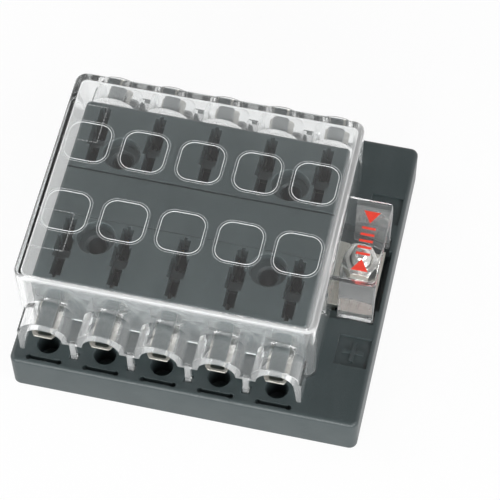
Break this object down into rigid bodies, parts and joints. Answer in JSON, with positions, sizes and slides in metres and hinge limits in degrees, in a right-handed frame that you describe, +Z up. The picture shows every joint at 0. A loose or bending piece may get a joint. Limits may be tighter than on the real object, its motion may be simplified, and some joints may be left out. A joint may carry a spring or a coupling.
{
  "type": "fuse box panel",
  "caption": "Blade fuse panel: moulded base with rows of fuse seats, push-on tabs, a feed stud and a clear lift-off cover held by a squeeze latch.",
  "frame": {"origin": "centre of the bottom face of the base", "axes": "+X to the right towards the feed stud, along the rows of fuses; +Y away from the front row of tabs; +Z up out of the mounting face"},
  "size_m": [0.097, 0.092, 0.0388],
  "materials": {
    "base_plastic": "fine-grained charcoal moulding",
    "cover_plate_plastic": "dark moulding",
    "clear_plastic": "clear polycarbonate",
    "tinned_brass": "tin plated",
    "brass": "plain stamped strip",
    "steel": "nickel plated"
  },
  "bodies": {
    "base": {"base_housing": "base_plastic", "bottom_cover": "cover_plate_plastic", "bottom_screw_1": "steel", "bottom_screw_2": "steel", "bottom_screw_3": "steel", "bottom_screw_4": "steel", "load_terminal_front_1": "tinned_brass", "bus_jaw_front_1": "tinned_brass", "load_terminal_front_2": "tinned_brass", "bus_jaw_front_2": "tinned_brass", "load_terminal_front_3": "tinned_brass", "bus_jaw_front_3": "tinned_brass", "load_terminal_front_4": "tinned_brass", "bus_jaw_front_4": "tinned_brass", "load_terminal_front_5": "tinned_brass", "bus_jaw_front_5": "tinned_brass", "bus_bar_front": "brass", "bus_rivet_front": "steel", "load_terminal_rear_1": "tinned_brass", "bus_jaw_rear_1": "tinned_brass", "load_terminal_rear_2": "tinned_brass", "bus_jaw_rear_2": "tinned_brass", "load_terminal_rear_3": "tinned_brass", "bus_jaw_rear_3": "tinned_brass", "load_terminal_rear_4": "tinned_brass", "bus_jaw_rear_4": "tinned_brass", "load_terminal_rear_5": "tinned_brass", "bus_jaw_rear_5": "tinned_brass", "bus_bar_rear": "brass", "bus_rivet_rear": "steel", "feed_plate": "tinned_brass", "feed_stud": "steel", "flat_washer": "steel", "spring_washer": "steel"},
    "cover": {"clear_cover": "clear_plastic"},
    "arm_front": {"squeeze_arm_front": "clear_plastic"},
    "arm_rear": {"squeeze_arm_rear": "clear_plastic"},
    "nut": {"feed_nut": "steel"}
  },
  "joints": [
    {"name": "cover_lift", "type": "slide", "parent": "base", "child": "cover", "axis": [0, 0, 1], "range_m": [0, 0.045]},
    {"name": "front_arm_squeeze", "type": "hinge", "parent": "cover", "child": "arm_front", "pos_m": [0.0413, -0.0122, 0.0304], "axis": [1, 0, 0], "range_deg": [0, 4], "stiffness_Nm_per_rad": 0.05},
    {"name": "rear_arm_squeeze", "type": "hinge", "parent": "cover", "child": "arm_rear", "pos_m": [0.0413, 0.0122, 0.0304], "axis": [-1, 0, 0], "range_deg": [0, 4], "stiffness_Nm_per_rad": 0.05},
    {"name": "feed_nut_turn", "type": "hinge", "parent": "base", "child": "nut", "pos_m": [0.0398, 0.003, 0.0167], "axis": [0, 0, 1], "continuous": true}
  ],
  "couplings": [
    {"joint": "rear_arm_squeeze", "follows": "front_arm_squeeze", "ratio": 1}
  ]
}
